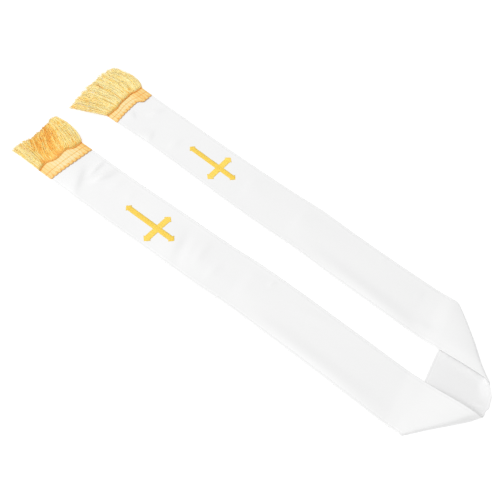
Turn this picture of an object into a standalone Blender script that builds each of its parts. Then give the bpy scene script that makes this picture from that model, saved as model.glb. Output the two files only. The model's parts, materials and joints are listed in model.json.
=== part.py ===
"""A clerical stole laid out flat, its two arms side by side and its neck turned over at the corners.

Lengths in this file are millimetres until a mesh is made, where they become metres.
+X runs along the arms from the fringes to the neck, +Y from the left arm to the right arm and +Z up.
The stole is one long strip of two panels.  On the arms its front panel lies upwards.  At each corner
the strip turns over in a soft roll, so the neck shows the back panel and lies under both arms.

The strip is a row of rulings, straight lines across it.  A place on the strip is a ruling and a
fraction of the way across, 0 on the outer edge and 1 on the inner edge.
"""

import math

import bmesh
import bpy
from mathutils import Vector

MM = 0.001
SAME_PLACE = 0.01

# ---- Cloth -------------------------------------------------------------------------------------

CLOTH_THICK = 1.0
SEAM_GAP = 0.3
STRIP_THICK = 2 * CLOTH_THICK + SEAM_GAP
REST = STRIP_THICK / 2
CELLS_ACROSS = 6

# ---- Arms -----------------------------------------------------------------------------------------

# x along the arm, y of its middle line, width.

LEFT_ARM_LINE = [
    (-460.0, -118.0, 117.0),
    (-400.0, -116.5, 116.5),
    (-269.0, -115.0, 115.0),
    (-142.0, -110.5, 114.5),
    (7.0, -106.0, 113.0),
    (88.0, -101.0, 112.0),
    (180.0, -99.5, 111.5),
    (318.0, -99.5, 109.0),
    (440.0, -100.2, 107.5),
    (575.0, -99.2, 108.0),
]
RIGHT_ARM_LINE = [
    (-460.0, 95.5, 121.0),
    (-400.0, 94.0, 118.0),
    (-320.0, 93.0, 114.0),
    (-232.0, 90.0, 112.0),
    (-98.0, 85.5, 112.5),
    (34.0, 83.5, 113.5),
    (111.0, 84.5, 113.0),
    (203.0, 80.0, 111.0),
    (318.0, 77.0, 109.5),
    (427.0, 75.3, 109.0),
    (560.0, 74.5, 108.5),
]

# Where the outer and inner edges of an arm start, at the fringe, and where they reach its corner
# roll.  The bow is how far the roll bends towards the neck between its ends, the mouth is how far its
# inner end opens where it meets the neck, and the loft tail is how far past the neck's outer edge the
# arm takes to come down.
LEFT_ARM = {
    "side": -1,
    "line": LEFT_ARM_LINE,
    "end_x": (-457.0, -446.0),
    "corner_x": (472.0, 553.0),
    "bow": -2.0,
    "mouth": 3.5,
    "loft_tail": 15.0,
}
RIGHT_ARM = {
    "side": 1,
    "line": RIGHT_ARM_LINE,
    "end_x": (-456.0, -456.0),
    "corner_x": (433.0, 540.0),
    "bow": 2.0,
    "mouth": 5.7,
    "loft_tail": 70.0,
}
ARM_RULINGS = 24
CORNER_CROWDING = 1.55

# ---- Corner folds and neck ----------------------------------------------------------------------

ROLL_RADIUS = (2.5, 11.5)
BOW_PEAK_POWER = 0.6
BOW_REACH = 0.12
MOUTH_POWER = 4
ROLL_STEPS = 8
OVERLAP_LIFT = STRIP_THICK + 0.6
DROP_START = 4.0
DROP_LENGTH = 32.0
NECK_RULINGS = 6

# The neck's inner edge between its two corners, x and y.
NECK_INNER_EDGE = [
    (571.3, -13.5),
]

# ---- Largest folds of the arms --------------------------------------------------------------------

# How much of the width, from either edge, stays flat.
FLAT_EDGE = 0.2

# Arm, x, fraction across, length, width, turn in degrees and height.
SWELLS = [
    ("left", -330.0, 0.55, 130.0, 24.0, -58.0, 2.2),
    ("left", -60.0, 0.45, 120.0, 26.0, 76.0, 2.4),
    ("left", 285.0, 0.18, 400.0, 26.0, 0.0, 2.2),
    ("right", -350.0, 0.35, 120.0, 26.0, 64.0, 2.0),
    ("right", 78.0, 0.40, 110.0, 30.0, 90.0, 1.8),
    ("right", 280.0, 0.82, 380.0, 26.0, -2.5, 2.1),
]

# ---- Crosses ---------------------------------------------------------------------------------------

# The middle of the crossing, the turn from the arm's line in degrees, and the lengths of the limbs.

CROSS_X = {"left": -138.0, "right": -141.0}
CROSS_ACROSS = {"left": 0.435, "right": 0.5}
CROSS_TURN = {"left": -1.7, "right": -0.5}
CROSS_HEAD = 49.0
CROSS_FOOT = 94.5
CROSS_ARM = 39.5
UPRIGHT_HALF = 6.0
CROSSPIECE_HALF = 7.3
POINT_LENGTH = 9.0
POINT_FLARE = 2.4
POINT_STEP = 1.5
CROSS_THICK = 1.0

# ---- Gold braid over the end of each arm -----------------------------------------------------------

BRAID_MARGIN = 0.4
BRAID_THICK = 1.1
BRAID_CORD = 1.6
BRAID_TEETH = 11
TOOTH_DEPTH = 3.0
# Each row's share of the way from the fringe to the toothed side, and the height of its ribs.
BRAID_ROWS = [(0.0, 0.0), (0.14, 0.0), (0.3, 0.6), (0.5, 0.24), (0.78, 0.6), (1.0, 0.6)]
# Fraction across the arm and x of the braid's toothed side.
BRAID_TOP = {
    "left": [(0.0, -417.0), (0.5, -412.0), (1.0, -409.0)],
    "right": [(0.0, -423.0), (0.30, -423.0), (0.36, -434.0), (0.6, -433.0), (1.0, -425.0)],
}

# ---- Fringe ---------------------------------------------------------------------------------------

STRANDS = 70
BACKING_DEPTH = 4.0
BACKING_BOTTOM = 0.4
BACKING_TOP = 2.4
BACKING_INSET = 0.8
STRAND_STATIONS = [0.06, 0.24, 0.5, 0.76, 1.0]
STRAND_HALF_WIDTH = 0.6
STRAND_HALF_HEIGHT = 0.55
STRAND_TIP_SHARE = 0.6
STRAND_STAGGER = 1.3
TIP_HEIGHT = 1.3
HUMP_PEAK_POWER = 0.75
# Fraction across, tip x, tip y, sideways bow and height of the hump.
FRINGE_SHAPE = {
    "left": [
        (0.0, -550.0, -176.0, -1.0, 4.0),
        (0.2, -556.5, -148.0, 0.0, 8.0),
        (0.45, -548.0, -106.5, -3.0, 2.0),
        (0.55, -548.0, -95.0, -2.0, 2.5),
        (0.78, -556.0, -67.0, 4.0, 9.0),
        (1.0, -552.0, -46.0, 8.0, 5.0),
    ],
    "right": [
        (0.0, -560.0, 164.5, 9.0, 5.0),
        (0.15, -572.0, 149.5, 6.5, 7.5),
        (0.45, -572.0, 100.0, 2.0, 6.0),
        (0.65, -566.0, 63.5, 0.0, 5.0),
        (0.85, -560.0, 28.0, -2.0, 6.5),
        (1.0, -550.0, -6.0, -3.0, 4.0),
    ],
}

ARMS = {"left": LEFT_ARM, "right": RIGHT_ARM}


# ---- Small helpers ------------------------------------------------------------------------------


def lerp(start, end, share):
    """The value a given share of the way from start to end."""
    return start + (end - start) * share


def ease(share):
    """A share from 0 to 1, eased in and out."""
    share = min(1.0, max(0.0, share))
    return share * share * (3.0 - 2.0 * share)


def read_curve(rows, at):
    """The columns of a short table where its first column is `at`, on a smooth curve."""
    last = len(rows) - 1
    step = next((k for k in range(last) if at <= rows[k + 1][0]), last - 1)
    before, low, high, after = (rows[min(max(k, 0), last)] for k in range(step - 1, step + 3))
    span = high[0] - low[0]
    share = (at - low[0]) / span
    columns = []
    for column in range(1, len(low)):
        slope_low = (high[column] - before[column]) / (high[0] - before[0])
        slope_high = (after[column] - low[column]) / (after[0] - low[0])
        columns.append(
            low[column] * (1 + 2 * share) * (1 - share) ** 2
            + high[column] * (3 - 2 * share) * share ** 2
            + span * slope_low * share * (1 - share) ** 2
            - span * slope_high * (1 - share) * share ** 2
        )
    return columns


# ---- The strip's middle surface -------------------------------------------------------------------


def across_arm(arm, x, across):
    """The y of a place on an arm."""
    middle, width = read_curve(arm["line"], x)
    return middle + arm["side"] * (0.5 - across) * width


def roll_radius(across):
    """The radius of a corner roll, which opens towards the inner edge."""
    return lerp(*ROLL_RADIUS, across)


def roll_bow(arm, across):
    """How far a corner roll bends towards the neck."""
    return arm["bow"] * math.sin(math.pi * across ** BOW_PEAK_POWER)


def roll_start(arm, across):
    """Where a corner roll leaves its arm, in plan."""
    ends = []
    for edge in (0.0, 1.0):
        x = lerp(*arm["corner_x"], edge)
        ends.append(Vector((x, across_arm(arm, x, edge))))
    return ends[0].lerp(ends[1], across)


def roll_place(arm, across, turn):
    """A place on a corner roll: turn is 0 where it leaves the arm and 1 where it meets the neck.

    The strip crosses the roll at a slant, so its edges slide along the roll as they go round.
    """
    fold = roll_start(arm, 1.0) - roll_start(arm, 0.0)
    outward = Vector((abs(fold.y), arm["side"] * abs(fold.x))).normalized()
    slant = abs(fold.x / fold.y)
    radius = roll_radius(across)
    angle = math.pi * (turn - 0.5)
    plan = roll_start(arm, across) + outward * radius * math.cos(angle)
    plan += fold.normalized() * math.pi * turn * radius * slant
    height = REST + radius * (1 - math.sin(angle))
    mouth = arm["mouth"] * across ** MOUTH_POWER * max(0.0, 2 * turn - 1)
    return Vector((plan.x + roll_bow(arm, across) + mouth, plan.y, height))


def neck_outer_x(y):
    """The x of the neck's outer edge, a straight line from corner to corner."""
    start = roll_place(LEFT_ARM, 0.0, 1.0)
    end = roll_place(RIGHT_ARM, 0.0, 1.0)
    return lerp(start.x, end.x, (y - start.y) / (end.y - start.y))


def swell_height(name, x, across):
    """The height that the arm's largest folds add at one place."""
    width = read_curve(ARMS[name]["line"], x)[1]
    total = 0.0
    for arm_name, fold_x, fold_across, length, breadth, turn, height in SWELLS:
        if arm_name == name:
            side = ARMS[name]["side"] * (fold_across - across) * width
            angle = math.radians(turn)
            along = (x - fold_x) * math.cos(angle) + side * math.sin(angle)
            aside = side * math.cos(angle) - (x - fold_x) * math.sin(angle)
            total += height * ease(1 - abs(2 * along / length)) * math.exp(-((aside / breadth) ** 2))
    return total * ease(min(across, 1 - across) / FLAT_EDGE)


def arm_height(name, x, across):
    """The height of an arm's middle surface: on the table, then over the neck and up to its roll."""
    arm = ARMS[name]
    y = across_arm(arm, x, across)
    corner_x = lerp(*arm["corner_x"], across) + roll_bow(arm, across)
    from_corner = corner_x - x
    overlap = corner_x - neck_outer_x(y)
    step_down = 1 - ease((from_corner - overlap - DROP_START) / DROP_LENGTH)
    loft_down = 1 - ease(from_corner / (overlap + arm["loft_tail"]))
    loft = 2 * roll_radius(across) - OVERLAP_LIFT
    lift = OVERLAP_LIFT * step_down + loft * loft_down
    return REST + lift + swell_height(name, x, across) * (1 - step_down)


def arm_ruling(name, share):
    """A ruling of an arm, at a share of the way from its fringe to its corner."""
    arm = ARMS[name]
    edge_x = [lerp(arm["end_x"][edge], arm["corner_x"][edge], share) for edge in (0, 1)]
    bend = ease(1 - (1 - share) / BOW_REACH)
    points = []
    for cell in range(CELLS_ACROSS + 1):
        across = cell / CELLS_ACROSS
        x = lerp(*edge_x, across) + bend * roll_bow(arm, across)
        points.append(Vector((x, across_arm(arm, x, across), arm_height(name, x, across))))
    return points


def roll_ruling(arm, turn):
    """A ruling of a corner roll."""
    return [roll_place(arm, cell / CELLS_ACROSS, turn) for cell in range(CELLS_ACROSS + 1)]


def neck_ruling(step):
    """A ruling of the neck, between its two corner rolls."""
    start = roll_ruling(LEFT_ARM, 1.0)
    end = roll_ruling(RIGHT_ARM, 1.0)
    share = step / NECK_RULINGS
    outer = start[0].lerp(end[0], share)
    edge = [(0.0, *start[-1].xy)]
    spacing = 1.0 / (len(NECK_INNER_EDGE) + 1)
    edge += [((k + 1) * spacing, *place) for k, place in enumerate(NECK_INNER_EDGE)]
    edge.append((1.0, *end[-1].xy))
    inner = Vector((*read_curve(edge, share), REST))
    return [outer.lerp(inner, cell / CELLS_ACROSS) for cell in range(CELLS_ACROSS + 1)]


def strip_rulings():
    """Every ruling of the strip, from the left fringe round the neck to the right fringe."""
    shares = [1 - (1 - k / ARM_RULINGS) ** CORNER_CROWDING for k in range(ARM_RULINGS + 1)]
    turns = [k / ROLL_STEPS for k in range(1, ROLL_STEPS + 1)]
    left = [arm_ruling("left", share) for share in shares]
    left += [roll_ruling(LEFT_ARM, turn) for turn in turns]
    right = [arm_ruling("right", share) for share in shares]
    right += [roll_ruling(RIGHT_ARM, turn) for turn in turns]
    neck = [neck_ruling(step) for step in range(1, NECK_RULINGS)]
    return left + neck + right[::-1]


def move_out(rulings, distance):
    """The same rulings moved out of the strip, towards its front where distance is positive."""
    moved = []
    last = len(rulings) - 1
    for row, points in enumerate(rulings):
        before, after = rulings[max(row - 1, 0)], rulings[min(row + 1, last)]
        line = []
        for cell, point in enumerate(points):
            along = after[cell] - before[cell]
            over = points[min(cell + 1, CELLS_ACROSS)] - points[max(cell - 1, 0)]
            line.append(point + along.cross(over).normalized() * distance)
        moved.append(line)
    return moved


def on_front(name, x, across, lift):
    """A place above an arm's front panel, lifted clear of its upper face."""
    arm = ARMS[name]
    height = arm_height(name, x, across) + STRIP_THICK / 2 + lift
    return Vector((x, across_arm(arm, x, across), height))


# ---- Meshes and materials -------------------------------------------------------------------------


def make_material(name, color, roughness, metallic=0.0):
    """A plain Principled material."""
    material = bpy.data.materials.new(name)
    material.use_nodes = True
    shader = material.node_tree.nodes["Principled BSDF"]
    shader.inputs["Base Color"].default_value = (*color, 1.0)
    shader.inputs["Roughness"].default_value = roughness
    shader.inputs["Metallic"].default_value = metallic
    return material


def add_object(name, mesh, material, collection):
    """A named object in the stole's collection."""
    mesh.materials.append(material)
    obj = bpy.data.objects.new(name, mesh)
    collection.objects.link(obj)
    return obj


def bmesh_to_mesh(bm, name):
    """A mesh in metres, with its faces pointing out."""
    bmesh.ops.recalc_face_normals(bm, faces=bm.faces)
    bmesh.ops.scale(bm, vec=(MM, MM, MM), verts=bm.verts)
    mesh = bpy.data.meshes.new(name)
    bm.to_mesh(mesh)
    bm.free()
    return mesh


def grid_faces(bm, lines):
    """The faces of an open surface over rows of points, and its vertices in the same rows."""
    rows = [[bm.verts.new(point) for point in line] for line in lines]
    for low, high in zip(rows, rows[1:]):
        for cell in range(len(low) - 1):
            bm.faces.new((low[cell], low[cell + 1], high[cell + 1], high[cell]))
    return rows


# ---- Panels ---------------------------------------------------------------------------------------


def add_panel(name, rulings, offset, material, collection):
    """One panel: the strip's surface moved to the panel's middle, made a wall with Solidify."""
    bm = bmesh.new()
    grid_faces(bm, move_out(rulings, offset))
    obj = add_object(name, bmesh_to_mesh(bm, name), material, collection)
    wall = obj.modifiers.new("cloth", "SOLIDIFY")
    wall.thickness = CLOTH_THICK * MM
    wall.offset = 0.0
    wall.use_even_offset = True
    obj.data.shade_smooth()
    return obj


# ---- Crosses --------------------------------------------------------------------------------------


def cross_outline():
    """The outline of a cross about its crossing, its head along +X."""
    limbs = [
        (CROSS_HEAD, UPRIGHT_HALF, CROSSPIECE_HALF),
        (CROSS_ARM, CROSSPIECE_HALF, UPRIGHT_HALF),
        (CROSS_FOOT, UPRIGHT_HALF, CROSSPIECE_HALF),
        (CROSS_ARM, CROSSPIECE_HALF, UPRIGHT_HALF),
    ]
    outline = []
    for turn, (length, half, start) in enumerate(limbs):
        shoulder = length - POINT_LENGTH
        limb = [
            (start, -half),
            (shoulder - POINT_STEP, -half),
            (shoulder, -half - POINT_FLARE),
            (length, 0.0),
            (shoulder, half + POINT_FLARE),
            (shoulder - POINT_STEP, half),
        ]
        for x, y in limb:
            point = Vector((x, y))
            for _ in range(turn):
                point = Vector((-point.y, point.x))
            outline.append(point)
    return outline


def add_cross(name, arm_name, material, collection):
    """A raised cross that follows an arm's front panel."""
    arm = ARMS[arm_name]
    turn = math.radians(CROSS_TURN[arm_name])
    centre_x = CROSS_X[arm_name]
    width = read_curve(arm["line"], centre_x)[1]
    bm = bmesh.new()
    loops = []
    for lift in (SEAM_GAP, SEAM_GAP + CROSS_THICK):
        loop = []
        for point in cross_outline():
            x = centre_x + point.x * math.cos(turn) - point.y * math.sin(turn)
            aside = point.x * math.sin(turn) + point.y * math.cos(turn)
            across = CROSS_ACROSS[arm_name] - arm["side"] * aside / width
            loop.append(bm.verts.new(on_front(arm_name, x, across, lift)))
        loops.append(loop)
    low, high = loops
    bm.faces.new(low[::-1])
    bm.faces.new(high)
    for k in range(len(low)):
        after = (k + 1) % len(low)
        bm.faces.new((low[k], low[after], high[after], high[k]))
    return add_object(name, bmesh_to_mesh(bm, name), material, collection)


# ---- Braid ----------------------------------------------------------------------------------------


def braid_height(row, column):
    """The thickness of the braid: a round cord by the fringe, then ladder ribs."""
    cord = BRAID_CORD if row == 0 else 0.0
    rib = BRAID_ROWS[row][1] if column % 2 else 0.0
    return BRAID_THICK + cord + rib


def add_braid(name, arm_name, material, collection):
    """A woven band over the end of an arm, toothed on the side towards the neck."""
    arm = ARMS[arm_name]
    columns = 2 * BRAID_TEETH
    width = read_curve(arm["line"], arm["end_x"][0])[1]
    margin = BRAID_MARGIN / width
    sides = {"low": [], "high": []}
    for row, (share, _) in enumerate(BRAID_ROWS):
        low_line, high_line = [], []
        for column in range(columns + 1):
            across = lerp(margin, 1 - margin, column / columns)
            start_x = lerp(*arm["end_x"], across) + BRAID_MARGIN
            tooth = TOOTH_DEPTH * (column % 2) if row == len(BRAID_ROWS) - 1 else 0.0
            end_x = read_curve(BRAID_TOP[arm_name], across)[0] + tooth
            x = lerp(start_x, end_x, share)
            low_line.append(on_front(arm_name, x, across, SEAM_GAP))
            high_line.append(on_front(arm_name, x, across, SEAM_GAP + braid_height(row, column)))
        sides["low"].append(low_line)
        sides["high"].append(high_line)
    bm = bmesh.new()
    low = grid_faces(bm, sides["low"])
    high = grid_faces(bm, sides["high"])
    rims = [
        (low[0], high[0]),
        (low[-1], high[-1]),
        ([line[0] for line in low], [line[0] for line in high]),
        ([line[-1] for line in low], [line[-1] for line in high]),
    ]
    for low_rim, high_rim in rims:
        for k in range(len(low_rim) - 1):
            bm.faces.new((low_rim[k], low_rim[k + 1], high_rim[k + 1], high_rim[k]))
    return add_object(name, bmesh_to_mesh(bm, name), material, collection)


# ---- Fringe ---------------------------------------------------------------------------------------


def add_backing(bm, start, end):
    """The fringe's backing strip, its strand side cut into a cell for each strand and each gap.

    It returns the strands' cells in order, and the direction along the strip.
    """
    along = (end - start).normalized()
    outward = Vector((-along.y, along.x, 0.0))
    if outward.x > 0:
        outward.negate()
    length = (end - start).length - 2 * BACKING_INSET
    middle = (start + end) / 2 + outward * (SEAM_GAP + BACKING_DEPTH / 2)
    middle.z = (BACKING_BOTTOM + BACKING_TOP) / 2
    bmesh.ops.create_cube(bm, size=1.0)
    for vert in bm.verts:
        place = middle + outward * vert.co.x * BACKING_DEPTH + along * vert.co.y * length
        place.z += vert.co.z * (BACKING_TOP - BACKING_BOTTOM)
        vert.co = place
    face = max(bm.faces, key=lambda item: (item.calc_center_median() - middle).dot(outward))
    edges = [edge for edge in face.edges if abs((edge.verts[0].co - edge.verts[1].co).z) < SAME_PLACE]
    bmesh.ops.subdivide_edges(bm, edges=edges, cuts=2 * STRANDS, use_grid_fill=True)
    front = middle + outward * BACKING_DEPTH / 2
    cells = []
    for item in bm.faces:
        if abs((item.calc_center_median() - front).dot(outward)) < SAME_PLACE:
            cells.append(item)
    cells.sort(key=lambda item: (item.calc_center_median() - front).dot(along))
    return cells[1::2], along


def strand_centre(root, shape, share, stagger):
    """A place on a strand's middle line, a share of the way from its root to its tip."""
    tip_x, tip_y, bow, hump = shape
    swing = math.sin(math.pi * share ** HUMP_PEAK_POWER)
    height = lerp(root.z, TIP_HEIGHT, ease(share)) + (hump + stagger) * swing
    y = lerp(root.y, tip_y, share) + bow * swing
    return Vector((lerp(root.x, tip_x, share), y, height))


def add_fringe(name, arm_name, material, collection):
    """A fringe: a narrow backing strip beyond the arm's end, with the strands drawn out of it."""
    arm = ARMS[arm_name]
    corners = []
    for edge in (0, 1):
        x = arm["end_x"][edge]
        corners.append(Vector((x, across_arm(arm, x, edge), 0.0)))
    bm = bmesh.new()
    cells, along = add_backing(bm, *corners)
    for number, cell in enumerate(cells):
        across = (number + 0.5) / STRANDS
        shape = read_curve(FRINGE_SHAPE[arm_name], across)
        stagger = STRAND_STAGGER * (-1) ** number
        root = cell.calc_center_median()
        centre = root
        face = cell
        for share in STRAND_STATIONS:
            face = bmesh.ops.extrude_discrete_faces(bm, faces=[face])["faces"][0]
            following = strand_centre(root, shape, share, stagger)
            taper = lerp(1.0, STRAND_TIP_SHARE, share)
            for vert in face.verts:
                side = math.copysign(STRAND_HALF_WIDTH * taper, (vert.co - centre).dot(along))
                rise = math.copysign(STRAND_HALF_HEIGHT * taper, vert.co.z - centre.z)
                vert.co = following + along * side + Vector((0.0, 0.0, rise))
            centre = following
    return add_object(name, bmesh_to_mesh(bm, name), material, collection)


# ---- The whole stole ------------------------------------------------------------------------------


def clear_scene():
    """Take every object out of the scene."""
    for obj in list(bpy.data.objects):
        bpy.data.objects.remove(obj, do_unlink=True)


def centre_on_base(objects):
    """Move every mesh so that the origin is the middle of the stole's base."""
    bpy.context.view_layer.update()
    graph = bpy.context.evaluated_depsgraph_get()
    corners = [Vector(corner) for obj in objects for corner in obj.evaluated_get(graph).bound_box]
    low = Vector([min(corner[axis] for corner in corners) for axis in range(3)])
    high = Vector([max(corner[axis] for corner in corners) for axis in range(3)])
    shift = Vector((-(low.x + high.x) / 2, -(low.y + high.y) / 2, 0.0))
    for obj in objects:
        for vert in obj.data.vertices:
            vert.co += shift


def main():
    """Build the stole."""
    clear_scene()
    collection = bpy.data.collections.new("clerical_stole")
    bpy.context.scene.collection.children.link(collection)
    satin = make_material("white_satin", (0.92, 0.92, 0.93), 0.45)
    lining = make_material("white_lining", (0.90, 0.90, 0.91), 0.5)
    thread = make_material("gold_thread", (0.98, 0.66, 0.10), 0.5)
    braid = make_material("gold_braid", (0.95, 0.62, 0.16), 0.55)
    fringe = make_material("gold_fringe", (0.98, 0.70, 0.22), 0.5)
    rulings = strip_rulings()
    offset = (CLOTH_THICK + SEAM_GAP) / 2
    objects = [
        add_panel("front_panel", rulings, offset, satin, collection),
        add_panel("back_panel", rulings, -offset, lining, collection),
    ]
    for arm_name in ARMS:
        objects.append(add_cross(f"cross_{arm_name}", arm_name, thread, collection))
        objects.append(add_braid(f"braid_{arm_name}", arm_name, braid, collection))
        objects.append(add_fringe(f"fringe_{arm_name}", arm_name, fringe, collection))
    centre_on_base(objects)


main()
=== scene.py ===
import json
import math

import bpy
import numpy as np
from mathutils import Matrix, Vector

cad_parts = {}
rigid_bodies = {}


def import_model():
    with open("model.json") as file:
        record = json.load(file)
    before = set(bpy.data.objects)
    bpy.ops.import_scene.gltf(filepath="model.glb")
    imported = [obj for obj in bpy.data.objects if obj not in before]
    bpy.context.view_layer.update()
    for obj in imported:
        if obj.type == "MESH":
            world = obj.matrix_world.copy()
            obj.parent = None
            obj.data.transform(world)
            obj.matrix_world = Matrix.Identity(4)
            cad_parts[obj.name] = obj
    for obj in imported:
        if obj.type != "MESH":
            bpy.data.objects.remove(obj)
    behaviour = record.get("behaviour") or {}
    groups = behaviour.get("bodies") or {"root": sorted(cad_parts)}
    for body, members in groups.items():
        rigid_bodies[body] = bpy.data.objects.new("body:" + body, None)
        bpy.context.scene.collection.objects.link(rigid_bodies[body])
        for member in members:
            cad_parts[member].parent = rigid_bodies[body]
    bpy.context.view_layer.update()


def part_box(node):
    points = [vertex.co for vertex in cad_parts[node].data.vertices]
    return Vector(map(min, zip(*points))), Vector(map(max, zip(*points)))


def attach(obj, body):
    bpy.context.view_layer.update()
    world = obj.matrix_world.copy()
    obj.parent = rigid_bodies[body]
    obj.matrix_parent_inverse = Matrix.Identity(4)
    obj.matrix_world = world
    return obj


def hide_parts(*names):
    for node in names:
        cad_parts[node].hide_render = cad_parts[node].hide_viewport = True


for old in list(bpy.data.objects):  # an empty stage to start on
    bpy.data.objects.remove(old)
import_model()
print("frame loaded")

mm = 0.001
rng = np.random.default_rng(11)


def ease(share):
    share = np.clip(share, 0.0, 1.0)
    return share * share * (3.0 - 2.0 * share)


def blend(low, high, share):
    return low + (high - low) * share


def wander(amount, *shape):
    return amount * rng.standard_normal(shape)


def unit(vectors):
    return vectors / np.maximum(np.linalg.norm(vectors, axis=-1, keepdims=True), 1e-12)


def readCurve(rows, at):
    # the columns of a short table, read on a smooth curve; the first column is what is looked up
    table = np.array(rows, float)
    at = np.asarray(at, float)
    step = np.clip(np.searchsorted(table[:, 0], at) - 1, 0, len(table) - 2)
    low, high = table[step], table[step + 1]
    before, after = table[np.maximum(step - 1, 0)], table[np.minimum(step + 2, len(table) - 1)]
    span = (high - low)[..., :1]
    share = (at[..., None] - low[..., :1]) / span
    slopeLow = (high - before)[..., 1:] / (high - before)[..., :1]
    slopeHigh = (after - low)[..., 1:] / (after - low)[..., :1]
    curve = low[..., 1:] * (1 + 2 * share) * (1 - share) ** 2
    curve = curve + high[..., 1:] * (3 - 2 * share) * share ** 2
    curve = curve + span * slopeLow * share * (1 - share) ** 2
    return curve - span * slopeHigh * (1 - share) * share ** 2


def readColumn(rows, at, column=0):
    return readCurve(rows, at)[..., column]


strip = {
    "half": 1.15,  # half the thickness of both panels
    "bowReach": 0.12,  # share of an arm, from its roll, that the fold's bow bends
    "mouthPower": 4,
    "overlapLift": 2.9,  # an arm over the neck
    "dropStart": 4.0,
    "dropLength": 32.0,
    "neckInner": (573.5, -13.5),
    "lean": (0.34, -0.42),  # how the lifted edge of the neck leans, for each millimetre of lift
    "leanStart": 540.0,
    "leanReach": 25.0,
    "width": 112.0,  # on average, between the wider ends and the narrower neck
    "length": 2118.0,  # along the middle, round both rolls and the neck
    "armRows": 372,
    "armCrowding": 1.18,  # how much closer the rows lie towards the roll
    "rollRows": 24,
    "neckRows": 30,
    "softRows": 6.0,  # how far from its foot a roll's crease is softened, and how often
    "softTimes": 14,
}

# where, across the strip, a corner roll opens and where it goes from pressed to round
rollForm = {"openStart": 0.62, "openReach": 0.3, "roundStart": 0.85, "roundReach": 0.15, "round": 0.8}
# the slow unevenness of cloth that lies flat, and how it fades towards the edges
sway = {"rise": 0.25, "pitch": (37.0, 83.0), "skew": 2.1, "start": 1.0, "edge": 0.12, "edgeShare": 0.35}

leftArm = {
    "side": -1,
    "line": [  # x, y of the middle, width
        (-460.0, -118.0, 117.0),
        (-400.0, -116.5, 116.5),
        (-269.0, -115.0, 115.0),
        (-142.0, -110.5, 114.5),
        (7.0, -106.0, 113.0),
        (88.0, -101.0, 112.0),
        (180.0, -99.5, 111.5),
        (318.0, -99.5, 109.0),
        (440.0, -100.2, 107.5),
        (575.0, -99.2, 108.0),
    ],
    "endX": (-457.0, -446.0),
    "cornerX": (472.0, 553.0),
    "bow": [  # how far the fold strays from its line
        (0.0, 0.4), (0.1, 0.6), (0.3, 0.3), (0.5, 1.0), (0.7, 1.2), (0.8, 0.2), (0.9, -1.2), (1.0, -2.0),
    ],
    "radius": [(0.0, 2.5), (1.0, 11.5)],  # of the roll, from the outer to the inner edge
    "mouth": 4.5,
    "open": 0.0,
    "loftTail": 14.0,
    # the roll's section: turn, how far out and how high, in radii; pressed to a crease on top
    "section": [
        (0.0, 0.0, 2.0), (0.15, 0.24, 1.98), (0.27, 0.45, 1.82), (0.5, 0.77, 1.15),
        (0.68, 1.0, 0.5), (0.82, 0.88, 0.1), (1.0, 0.0, 0.0),
    ],
}

rightArm = {
    "side": 1,
    "line": [
        (-460.0, 95.5, 121.0),
        (-400.0, 94.0, 118.0),
        (-320.0, 93.0, 114.0),
        (-232.0, 90.0, 112.0),
        (-98.0, 85.5, 112.5),
        (34.0, 83.5, 113.5),
        (111.0, 84.5, 113.0),
        (203.0, 80.0, 111.0),
        (318.0, 77.0, 109.5),
        (427.0, 75.3, 109.0),
        (500.0, 76.1, 106.8),
        (560.0, 76.2, 105.4),
    ],
    "endX": (-456.0, -456.0),
    "cornerX": (433.0, 540.0),
    "bow": [
        (0.0, 0.0), (0.1, 1.4), (0.2, 1.7), (0.3, 1.2), (0.5, -0.6), (0.7, -4.0), (0.8, -4.6),
        (0.9, -2.6), (1.0, 2.0),
    ],
    "radius": [(0.0, 2.5), (0.5, 6.6), (0.8, 8.2), (1.0, 7.4)],
    "mouth": 8.5,
    "open": 1.0,
    "loftTail": 70.0,
    "section": [
        (0.0, 0.0, 2.0), (0.15, 0.34, 1.95), (0.3, 0.68, 1.74), (0.42, 0.94, 1.35), (0.5, 1.0, 1.0),
        (0.62, 0.94, 0.55), (0.78, 0.6, 0.16), (1.0, 0.0, 0.0),
    ],
}

# soft creases of the satin: x, y, turn in degrees, length, width, height, and
# 0 for a ridge or the reach of the raised side of a step, on the left of its run
creaseScale = 1.3
leftArm["creases"] = [
    (-440.0, -118.0, 90.0, 150.0, 44.0, 2.4, 0.0),
    (-362.0, -134.0, 123.6, 108.0, 6.0, 3.4, 38.0),
    (-359.0, -88.0, 94.0, 74.0, 5.5, 2.7, 0.0),
    (-329.0, -95.0, 67.0, 88.0, 9.0, 4.2, 0.0),
    (-290.0, -92.0, 72.0, 66.0, 9.0, 0.9, 0.0),
    (-243.0, -98.0, 96.0, 50.0, 9.0, 0.5, 0.0),
    (-76.0, -116.0, 107.0, 112.0, 8.0, 2.3, 60.0),
    (-55.0, -120.0, -73.0, 112.0, 8.0, 2.3, 62.0),
    (82.0, -104.0, -88.0, 118.0, 9.0, 1.5, 80.0),
    (-28.0, -100.0, 98.0, 84.0, 10.0, 1.1, 0.0),
    (18.0, -118.0, 82.0, 70.0, 9.0, 0.9, 0.0),
    (285.0, -139.0, 0.0, 400.0, 15.0, 2.2, 0.0),
    (129.0, -66.0, 76.0, 26.0, 4.0, 0.8, 0.0),
    (240.0, -70.0, 12.0, 150.0, 10.0, 0.6, 0.0),
]
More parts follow.
